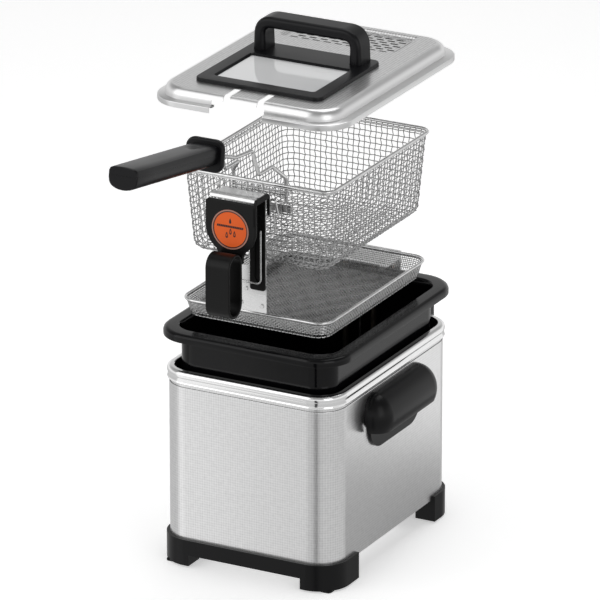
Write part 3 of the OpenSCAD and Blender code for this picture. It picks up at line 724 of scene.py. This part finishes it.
def drop(cx, cy, size):
    """Outline of one drop, point upwards."""
    points = []
    for i in range(20):
        a = TAU * i / 20
        pinch = math.sin(a / 2 + math.pi / 2) ** 2
        points.append((cx + size * 0.62 * math.sin(a) * (1 - 0.55 * pinch),
                       cy + size * math.cos(a) * (1 + 0.25 * pinch)))
    return points


def badge():
    """Orange disc with a ring, a dashed rule and plain drops."""
    low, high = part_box("filter_badge")
    r = (high.x - low.x) / 2
    ink, printed = 0.25 * MM, 0.85 * MM        # thickness of the print, and how far forward it starts

    def disc(radius):
        return circle(radius, [TAU * i / 64 for i in range(64)])

    def add(name, shapes, forward, slot, replaces=()):
        verts, faces = merged(shapes)
        verts = placed(verts, facing_front(low.x + r, high.y - forward, low.z + r))
        piece(name, verts, faces, "oil_filter", slot, replaces)

    add("badge_disc", [prism(disc(r - 0.6 * MM), 0.9 * MM)], 0, "badge", ["filter_badge"])
    add("badge_edge", [hollow_prism(disc(r), disc(r - 1.5 * MM), 1.2 * MM)], 0, "badge_ring")
    add("badge_line", [hollow_prism(disc(r - 1.5 * MM), disc(r - 2.7 * MM), ink)], printed, "badge_print")
    marks = [prism(drop(0, 9.6 * MM, 2.7 * MM), ink)]
    for cx, cy in ((0.3, -2.6), (-4.4, -7.2), (5.2, -5)):
        marks.append(hollow_prism(drop(cx * MM, cy * MM, 3.1 * MM), drop(cx * MM, cy * MM, 1.5 * MM), ink))
    for i in range(15):
        start = -16.8 + 2.2 * i
        dash = ((start, 2.1), (start + 1.8, 2.1), (start + 2.5, 4.6), (start + 0.7, 4.6))
        marks.append(prism([(x * MM, y * MM) for x, y in dash], ink))
    add("badge_marks", marks, printed, "badge_print")


def loop_grip():
    low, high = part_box("filter_loop_grip")
    d, h = high.y - low.y, high.z - low.z
    skin = 3 * MM
    outer = flat(d, h, 15 * MM, steps=12)
    inner = flat(d - 2 * skin, h - 2 * skin, 12 * MM, steps=12)
    verts, faces = hollow_prism(outer, inner, high.x - low.x)
    centre = Vector((low.x, (low.y + high.y) / 2, (low.z + high.z) / 2))
    verts = placed(verts, Matrix.Translation(centre) @ SIDEWAYS)
    bevelled(piece("loop_grip", verts, faces, "oil_filter", "filter_plastic", ["filter_loop_grip"]), 1.1 * MM)


def slotted_rail():
    """Black runner with a long slot, and a spring wire whose foot lies along the plate's fold."""
    low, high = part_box("filter_rail")
    bracket_low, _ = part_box("filter_bracket")
    slot_w, slot_h = 10 * MM, 78 * MM
    x, z = low.x + 11 * MM, low.z + 49 * MM
    outer = flat(high.x - low.x, high.z - low.z, 3 * MM, (low.x + high.x) / 2 - x, (low.z + high.z) / 2 - z)
    inner = flat(slot_w, slot_h, slot_w / 2 - 0.01 * MM)
    verts, faces = hollow_prism(outer, inner, high.y - low.y)
    verts = placed(verts, facing_front(x, high.y, z))
    bevelled(piece("slotted_rail", verts, faces, "oil_filter", "filter_plastic", ["filter_rail"]), 0.5 * MM)
    verts, faces = prism(flat(slot_w + 2 * MM, slot_h + 2 * MM, slot_w / 2), 0.3 * MM)
    verts = placed(verts, facing_front(x, high.y - 0.05 * MM, z))
    piece("slot_backing", verts, faces, "oil_filter", "filter_plastic")
    y, foot, upright = low.y, z - 41 * MM, x + 3.2 * MM
    route = [(bracket_low.x + MM, y, foot), (upright, y, foot), (upright, y, z + 22 * MM)]
    wires("spring_wire", [rounded(route, 6 * MM)], 1.1 * MM, "oil_filter", "bright_wire")


# ---------------------------------------------------------------- basket handle

GRIP_TILT = 9
GUARD_DEPTH = 7 * MM
GRIP_LENGTH = 181 * MM
WIRE_X = 21 * MM


def grip_frame():
    """The grip's own frame: +Y runs out along the grip, and the guard's inner face is at Y = 0."""
    _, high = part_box("handle_guard")
    tilt = math.radians(GRIP_TILT)
    half = 18.5 * MM
    y = high.y - half * math.sin(tilt)
    z = high.z - half * math.cos(tilt) - GUARD_DEPTH * math.sin(tilt)
    return Matrix.Translation((0, y, z)) @ Matrix.Rotation(math.pi, 4, "Z") @ Matrix.Rotation(tilt, 4, "X")


def grip_section(scale, dy, upper, dip):
    """Half of the grip's end outline: a flat crowned top with a thumb dip, or a round bottom."""
    half_w, top, bottom, seam, gap = 18 * scale, 12 * scale, 13 * scale, 3.0, 0.06
    if upper:
        points = [(-half_w, seam + gap), (-half_w, top - 4.5), (-half_w + 1.4, top - 1.6),
                  (-half_w + 4.6, top - 0.1)]
        for i in range(-2, 3):
            crown = 0.6 * scale * (1 - (i / 3) ** 2)
            points.append((half_w * i / 5, top + crown - dip * math.exp(-(i / 1.3) ** 2)))
        points += [(half_w - 4.6, top - 0.1), (half_w - 1.4, top - 1.6), (half_w, top - 4.5),
                   (half_w, seam + gap)]
    else:
        points = [(half_w, seam - gap), (half_w, 0), (half_w - 0.7, -4)]
        for i in range(1, 12):
            a = math.pi * i / 12
            points.append(((half_w - 1) * math.cos(a), -4 - (bottom - 4) * math.sin(a)))
        points += [(-half_w + 0.7, -4), (-half_w, 0), (-half_w, seam - gap)]
    return [Vector((x * MM, dy, z * MM)) for x, z in points]


def grip():
    place = grip_frame()
    start, end = GUARD_DEPTH + 0.1 * MM, GUARD_DEPTH + GRIP_LENGTH
    stations = [(start, 0.985)] + [(start + y * MM, 1) for y in (2, 12, 18, 24, 30, 36, 48, 90)]
    stations += [(end - 40 * MM, 1), (end - 3 * MM, 1), (end - MM, 0.985), (end, 0.93)]
    for name, node, upper in (("grip_cover", "grip_upper", True), ("grip_body", "grip_lower", False)):
        rings = []
        for y, scale in stations:
            dip = 3.2 * math.exp(-((y - start - 24 * MM) / (9 * MM)) ** 2)
            rings.append(grip_section(scale, y, upper, dip))
        verts, faces = solid(rings)
        piece(name, placed(verts, place), faces, "basket_handle", "handle_plastic", [node], sharp=32)
    verts, faces = prism(flat(47 * MM, 37 * MM, 11 * MM, steps=10), GUARD_DEPTH)
    verts = placed(verts, place @ Matrix.Rotation(math.radians(-90), 4, "X"))
    guard = piece("guard_plate", verts, faces, "basket_handle", "handle_plastic", ["handle_guard"])
    bevelled(guard, 2.4 * MM, 4)


def handle_wires():
    """Each wire runs from its foot inside the basket over the rim and up to the grip."""
    rim_low, rim_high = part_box("basket_rim_wire")
    front, rim = rim_low.y, (rim_low.z + rim_high.z) / 2
    guard_low, guard_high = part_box("handle_guard")
    guard_y, guard_z = guard_high.y - 3 * MM, (guard_low.z + guard_high.z) / 2
    foot_x, foot_y = 33 * MM, front + 14 * MM
    paths = []
    for s in (-1, 1):
        x = s * WIRE_X
        paths.append(rounded([
            (s * foot_x, foot_y, rim - 24 * MM), (s * foot_x, foot_y, rim + 5 * MM),
            (x, front + 4 * MM, rim + 19.5 * MM), (x, front - 28 * MM, rim + 19.5 * MM),
            (x, front - 42 * MM, rim + 52 * MM), (x, front - 80 * MM, rim + 56 * MM),
            (s * (WIRE_X - 7 * MM), guard_y, guard_z),
            (s * (WIRE_X - 8 * MM), guard_y - 12 * MM, guard_z + 2 * MM)], 6 * MM))
    paths.append([Vector((s * foot_x, foot_y, rim - 14 * MM)) for s in (-1, 1)])
    wires("handle_wire_pair", paths, 2.2 * MM, "basket_handle", "bright_wire", ["handle_wires"], 12)


def basket_hooks():
    """Plate and bent wires on the basket's front wall that take the handle."""
    low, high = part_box("basket_bracket")
    rim_low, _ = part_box("basket_rim_wire")
    verts, faces = prism(flat(84 * MM, 9 * MM, 2 * MM), MM)
    verts = placed(verts, facing_front(0, high.y, (low.z + high.z) / 2))
    bevelled(piece("hook_plate", verts, faces, "basket", "bright_sheet", ["basket_bracket"]), 0.3 * MM)
    out, rim = rim_low.y + 2.5 * MM, rim_low.z
    # Each bend: sideways, back from the wall, down from the rim, in mm
    loop = ((10, 0, 1), (10, -0.4, 58), (24, 3, 58), (24, 0, 34))
    brace = ((10, 0, 22), (26, -1, 14), (30, 0, 36))
    paths = []
    for s in (-1, 1):
        for bends, radius in ((loop, 5 * MM), (brace, 4 * MM)):
            paths.append(rounded([(s * x * MM, out + y * MM, rim - z * MM) for x, y, z in bends], radius))
    wires("front_hooks", paths, 1.2 * MM, "basket", "bright_wire", [], 8)


# ---------------------------------------------------------------- lid

LID_SHEET = 0.9 * MM
# Height in mm above the lower edge, how much narrower, how far in the front and the back are, corner radius
BAND_STEPS = ((0.3, 1, 0.5, 0.5, 37.6), (1.3, 0, 0, 0, 38), (6.1, 0, 0, 0, 38), (6.8, 0.8, 0.4, 0.4, 37.6),
              (7.3, 3.4, 1.2, 1.6, 36.6), (8.3, 15.4, 4.6, 7.6, 33.8))


def lid_rings(low, high, margin):
    """Sections of the lid from its lower edge up to its deck: band, sloping ledge, round shoulder."""
    w, d = high.x - low.x, high.y - low.y
    rise = (high.z - low.z) / MM

    def at(up, less, front, back, r):
        return section(w - less * MM - 2 * margin, d - (front + back) * MM - 2 * margin, r * MM - margin,
                       low.z + up * MM - margin, cy=(low.y + high.y + (front - back) * MM) / 2)

    rings = [at(*step) for step in BAND_STEPS]
    for i in range(10):
        a = math.pi / 2 * i / 9
        turn = 1 - math.cos(a)
        rings.append(at(8.6 + (rise - 8.6) * math.sin(a), 17.6 + 19 * turn, 5.4 + 7 * turn, 8.8 + 11 * turn,
                        33 - 8 * turn))
    return rings


def lid():
    low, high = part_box("lid_pan")
    glass_low, glass_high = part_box("lid_window")
    filter_low, filter_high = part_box("lid_filter_frame")
    clip_low, clip_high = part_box("filter_strip")
    outer, inner = lid_rings(low, high, 0), lid_rings(low, high, LID_SHEET)
    inner[0] = [Vector((p.x, p.y, low.z + 0.3 * MM)) for p in inner[0]]
    verts, faces, _, owner = loft(inner[::-1] + outer, cap_first=True, cap_last=True)
    edge = [1 if len(f) == 4 and k >= len(inner) else 0 for f, k in zip(faces, owner)]
    pan = piece("lid_pressing", verts, faces, "lid", "lid_steel", ["lid_pan"], [(v.x, v.y) for v in verts],
                edge, ["lid_edge"])
    above, below, front = high.z + 5 * MM, low.z - 5 * MM, low.y - 5 * MM
    # Slots for the handle's wires, notches for the filter's strip and the control unit, the window's hole
    slot, room = 4 * MM, 0.5 * MM
    cuts = [((x - slot, front, below), (x + slot, low.y + 35 * MM, above)) for x in (-WIRE_X, WIRE_X)]
    x = (clip_low.x + clip_high.x) / 2
    cuts.append(((x - 30 * MM, front, below), (x + 36 * MM, low.y + 13 * MM, low.z + 14 * MM)))
    cuts.append(((-29 * MM, high.y - 16 * MM, below), (29 * MM, high.y + 5 * MM, low.z + 16.5 * MM)))
    cuts.append(((glass_low.x - room, glass_low.y - room, high.z - 4 * MM),
                 (glass_high.x + room, glass_high.y + room, above)))
    for one in cuts:
        cut(pan, *block(*one))
    cy = (filter_low.y + filter_high.y) / 2 + 5 * MM
    w, d, depth = 146 * MM, 64 * MM, 2.4 * MM
    opening = [section(w, d, 6 * MM, z, cy=cy) for z in (high.z - 4 * MM, above)]
    verts, faces = solid(opening)
    cut(pan, verts, faces)
    weighted(pan)
    grille(w, d, depth, high.z, cy)


def grille(w, d, depth, deck, cy):
    """Sunk plate with staggered steam slots over a dark pad, a thin sheet that stands partly for the charcoal
    filter and partly paints the shade seen through the slots.
    """
    def at(more, r, down):
        return section(w + more * MM, d + more * MM, r * MM, deck - down * MM, cy=cy)

    def add(name, verts, faces, sharp=SHARP):
        return piece(name, verts, faces, "lid", "lid_steel", uvs=[(v.x, v.y) for v in verts], sharp=sharp)

    sunk = depth / MM
    border = [at(3, 7.5, 0.05), at(0.6, 6.5, -0.05), at(-1, 6, 0.5), at(-3.4, 5, sunk),
              at(-3.4, 5, sunk + 0.6), at(-0.4, 6, sunk + 0.6), at(3, 7.5, LID_SHEET / MM + 0.3)]
    verts, faces, _, _ = loft(border, closed=True)
    add("grille_border", verts, faces)
    verts, faces = solid([at(-3.2, 5, sunk + 0.5), at(-3.2, 5, sunk)])
    plate = add("grille_plate", verts, faces)
    first_x, first_y, pitch_x, pitch_y, stagger = -56.5, -25, 14, 7.2, 6.5
    spots = [((first_x + pitch_x * c + (r % 2) * stagger) * MM, cy + (first_y + r * pitch_y) * MM)
             for r in range(8) for c in range(9)]
    verts, faces = merged([prism(flat(9.8 * MM, 3.4 * MM, 1.65 * MM, x, y, 3), 4 * MM) for x, y in spots])
    cut(plate, [v + Vector((0, 0, deck - depth - 2 * MM)) for v in verts], faces)
    lips = [section(10 * MM, 3.6 * MM, 1.7 * MM, deck - depth - 0.2 * MM, x, y, 3) for x, y in spots]
    verts, faces = tube_mesh(lips, 0.22 * MM, 4, closed=True)
    add("slot_lips", verts, faces, 80)
    # Dark foam sheet just under the plate: partly the charcoal filter pad, partly painted shade inside the
    # slots
    verts, faces = solid([at(-4, 5, sunk + 1.4), at(-4, 5, sunk + 0.9)])
    piece("grille_shade_pad", verts, faces, "lid", "filter_pad")


def bezel():
    """Black frame of the window, and its pane."""
    low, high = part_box("lid_bezel")
    glass_low, glass_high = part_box("lid_window")
    w, d, cy = high.x - low.x, high.y - low.y, (low.y + high.y) / 2
    gw, gd = glass_high.x - glass_low.x - 5 * MM, glass_high.y - glass_low.y - 3 * MM
    gy = (glass_low.y + glass_high.y) / 2

    def outside(less, r, z):
        return section(w - less * MM, d - less * MM, r * MM, z, cy=cy)

    def inside(more_w, more_d, r, z):
        return section(gw + more_w * MM, gd + more_d * MM, r * MM, z, cy=gy)

    rings = [outside(0, 10, low.z), outside(0, 10, high.z - 1.4 * MM), outside(0.8, 9.6, high.z - 0.4 * MM),
             outside(2.6, 8.8, high.z), inside(5, 5, 4, high.z), inside(3.6, 3.6, 3.4, high.z - 0.5 * MM),
             inside(0, 0, 1.6, high.z - 2.2 * MM), inside(0, 0, 1.6, low.z + MM), inside(6, 4, 2, low.z)]
    verts, faces, _, _ = loft(rings, closed=True)
    weighted(piece("window_frame", verts, faces, "lid", "handle_plastic", ["lid_bezel"]))
    pane = [inside(0.6, 0.6, 2, z) for z in (glass_low.z, glass_high.z - 0.2 * MM)]
    verts, faces = solid(pane)
    piece("window_pane", verts, faces, "lid", "window_glass", ["lid_window"])


def arch():
    """Broad strap with round shoulders, swept along an arch."""
    low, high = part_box("lid_handle")
    thick, width = 13.5 * MM, high.y - low.y
    y = (low.y + high.y) / 2
    half = (high.x - low.x) / 2 - thick / 2
    crest = high.z - thick / 2
    route = rounded([(-half, y, low.z), (-half, y, crest), (half, y, crest), (half, y, low.z)], 22 * MM, 14)
    profile = section(thick, width, 4.6 * MM, 0, steps=5)
    rings = []
    for i, p in enumerate(route):
        way = (route[min(i + 1, len(route) - 1)] - route[max(i - 1, 0)]).normalized()
        normal = Vector((0, 1, 0)).cross(way).normalized()
        flare = 1 + 0.12 * math.exp(-((p.z - low.z) / (5 * MM)) ** 2)
        rings.append([p + normal * q.x * flare + Vector((0, q.y, 0)) for q in profile])
    verts, faces = solid(rings)
    weighted(piece("lid_arch", verts, faces, "lid", "handle_plastic", ["lid_handle"]))


# ---------------------------------------------------------------- CAD nodes that stay

# Width in mm of the softened edges of the CAD parts that stay
SOFT_EDGES = {"base_frame": 1.2, "handle_backplates": 0.8, "control_box": 2.2, "control_cover": 1.2,
              "rear_guide_rail": 0.8, "element_bracket": 0.4, "filter_bracket": 0.3, "thermostat_knob": 0.4,
              "power_switch": 0.6, "reset_button": 0.8, "cord_gland": 0.6, "foot_pads": 0.4,
              "base_plate": 0.3, "lid_filter": 1.0}


def kept_nodes():
    """Gives every CAD node that stays visible its material and a softened edge."""
    slot_of = {s["node"]: s["material_slot"] for s in frame["record"]["subparts"]}
    for name, obj in NODES.items():
        obj.data.materials.clear()
        obj.data.materials.append(MATERIALS[slot_of[name]])
    for name, width in SOFT_EDGES.items():
        bevelled(NODES[name], width * MM, angle=40)


# ---------------------------------------------------------------- stage

FLOOR_HALF = 14.0
WHITE = (1, 1, 1, 1)
# Brightness of the studio from straight below (0) through the horizon (0.5) to straight above (1)
SKY = ((0.001, 0.7), (0.27, 0.6), (0.36, 0.58), (0.5, 0.88), (0.6, 0.92), (0.675, 0.62), (0.73, 0.42),
       (0.8, 0.32), (0.999, 0.3))


def board(name, w, h, paint):
    """A flat rectangle for the studio, the floor or a card, hidden from diffuse rays."""
    mesh = bpy.data.meshes.new(name)
    mesh.from_pydata([(-w, -h, 0), (w, -h, 0), (w, h, 0), (-w, h, 0)], [], [(0, 1, 2, 3)])
    mesh.materials.append(paint.mat)
    made = bpy.data.objects.new(name, mesh)
    bpy.context.scene.collection.objects.link(made)
    made.visible_diffuse = False
    return made


def stage():
    """A pale floor that reflects in nothing, and a white backdrop whose reflection is the SKY ramp."""
    scene = bpy.context.scene
    scene.view_settings.view_transform = "Standard"
    paint = Shader("floor_paint", (0.9, 0.9, 0.9), roughness=0.8, Specular_IOR_Level=0.1,
                   Emission_Color=WHITE, Emission_Strength=0.45)
    floor = board("floor", FLOOR_HALF, FLOOR_HALF, paint)
    floor.location.z = -0.2 * MM
    floor.visible_glossy = False

    world = bpy.data.worlds.new("studio")
    scene.world = world
    world.use_nodes = True
    nodes, links = world.node_tree.nodes, world.node_tree.links
    back = nodes["Background"]
    where = nodes.new("ShaderNodeTexCoord")
    parts = nodes.new("ShaderNodeSeparateXYZ")
    height = nodes.new("ShaderNodeMapRange")
    height.inputs["From Min"].default_value = -1
    ramp = nodes.new("ShaderNodeValToRGB")
    stops = ramp.color_ramp.elements
    for spot, tone in SKY:
        stops.new(spot).color = (tone, tone, tone, 1)
    stops.remove(stops[0])
    stops.remove(stops[-1])
    seen = nodes.new("ShaderNodeLightPath")
    mix = nodes.new("ShaderNodeMix")
    mix.data_type = "RGBA"
    mix.inputs["B"].default_value = WHITE
    links.new(where.outputs["Generated"], parts.inputs[0])
    links.new(parts.outputs["Z"], height.inputs["Value"])
    links.new(height.outputs["Result"], ramp.inputs["Fac"])
    links.new(ramp.outputs["Color"], mix.inputs["A"])
    links.new(seen.outputs["Is Camera Ray"], mix.inputs["Factor"])
    links.new(mix.outputs["Result"], back.inputs["Color"])


def aim(obj, place, target, face):
    """Puts obj at place with its face axis towards target."""
    obj.location = place
    obj.rotation_euler = (Vector(target) - Vector(place)).to_track_quat(face, "Y").to_euler()


def light(name, place, target, size, power):
    data = bpy.data.lights.new(name, "AREA")
    data.shape = "RECTANGLE"
    data.size, data.size_y = size
    data.energy = power
    lamp = bpy.data.objects.new(name, data)
    aim(lamp, place, target, "-Z")
    bpy.context.scene.collection.objects.link(lamp)


def card(name, place, target, size, glow):
    """A board that only shows in reflections."""
    paint = Shader(name + "_paint", (0.01,) * 3, roughness=1, Specular_IOR_Level=0, Emission_Color=WHITE,
                   Emission_Strength=glow)
    made = board(name, size[0] / 2, size[1] / 2, paint)
    aim(made, place, target, "Z")
    made.visible_camera = False
    made.visible_shadow = False


def studio():
    middle = (0, 0, 0.3)
    light("key", (-1.6, -2.2, 1.9), middle, (2.6, 2.4), 21)
    light("fill", (2.2, -1.4, 1.2), middle, (1.4, 1.8), 8)
    light("top", (0, 0.6, 2.4), middle, (1.8, 1.8), 16)
    card("card_front", (-0.85, -1.0, -0.1), (0, -0.15, 0.15), (0.7, 1.2), 1.0)
    card("card_side", (0.5, 0.75, 0.05), (0.11, 0.05, 0.15), (0.5, 0.5), 0.95)
    card("card_corner", (0.35, -1.25, -0.35), (0.1, -0.14, 0.12), (0.22, 1.2), 0.0)
    card("card_low", (0.5, 0.95, -0.4), (0.11, 0.05, 0.1), (0.5, 0.42), 0.26)


CAMERA_AZIMUTH = 28
CAMERA_ELEVATION = 20.5
CAMERA_DISTANCE = 8.0
PIXELS_PER_METRE = 888
SENSOR = 36.0
FRAME_PIXELS = 600
SHIFT_PIXELS = -7
AIM_HEIGHT = 0.285


def camera():
    data = bpy.data.cameras.new("camera")
    data.sensor_width = SENSOR
    data.lens = PIXELS_PER_METRE * CAMERA_DISTANCE * SENSOR / FRAME_PIXELS
    data.shift_x = SHIFT_PIXELS / FRAME_PIXELS
    data.clip_end = 100
    data.dof.use_dof = False
    a, e = math.radians(CAMERA_AZIMUTH), math.radians(CAMERA_ELEVATION)
    back = Vector((math.sin(a) * math.cos(e), -math.cos(a) * math.cos(e), math.sin(e)))
    made = bpy.data.objects.new("camera", data)
    made.location = Vector((0, 0, AIM_HEIGHT)) + back * CAMERA_DISTANCE
    made.rotation_euler = back.to_track_quat("Z", "Y").to_euler()
    bpy.context.scene.collection.objects.link(made)
    bpy.context.scene.camera = made


camera()
stage()
studio()
kept_nodes()
housing()
side_hood("hood_right", 1, "side_handle_right")
side_hood("hood_left", -1, "side_handle_left")
bowl()
basket()
filter_tray()
strip()
shield()
badge()
loop_grip()
slotted_rail()
grip()
handle_wires()
basket_hooks()
lid()
bezel()
arch()
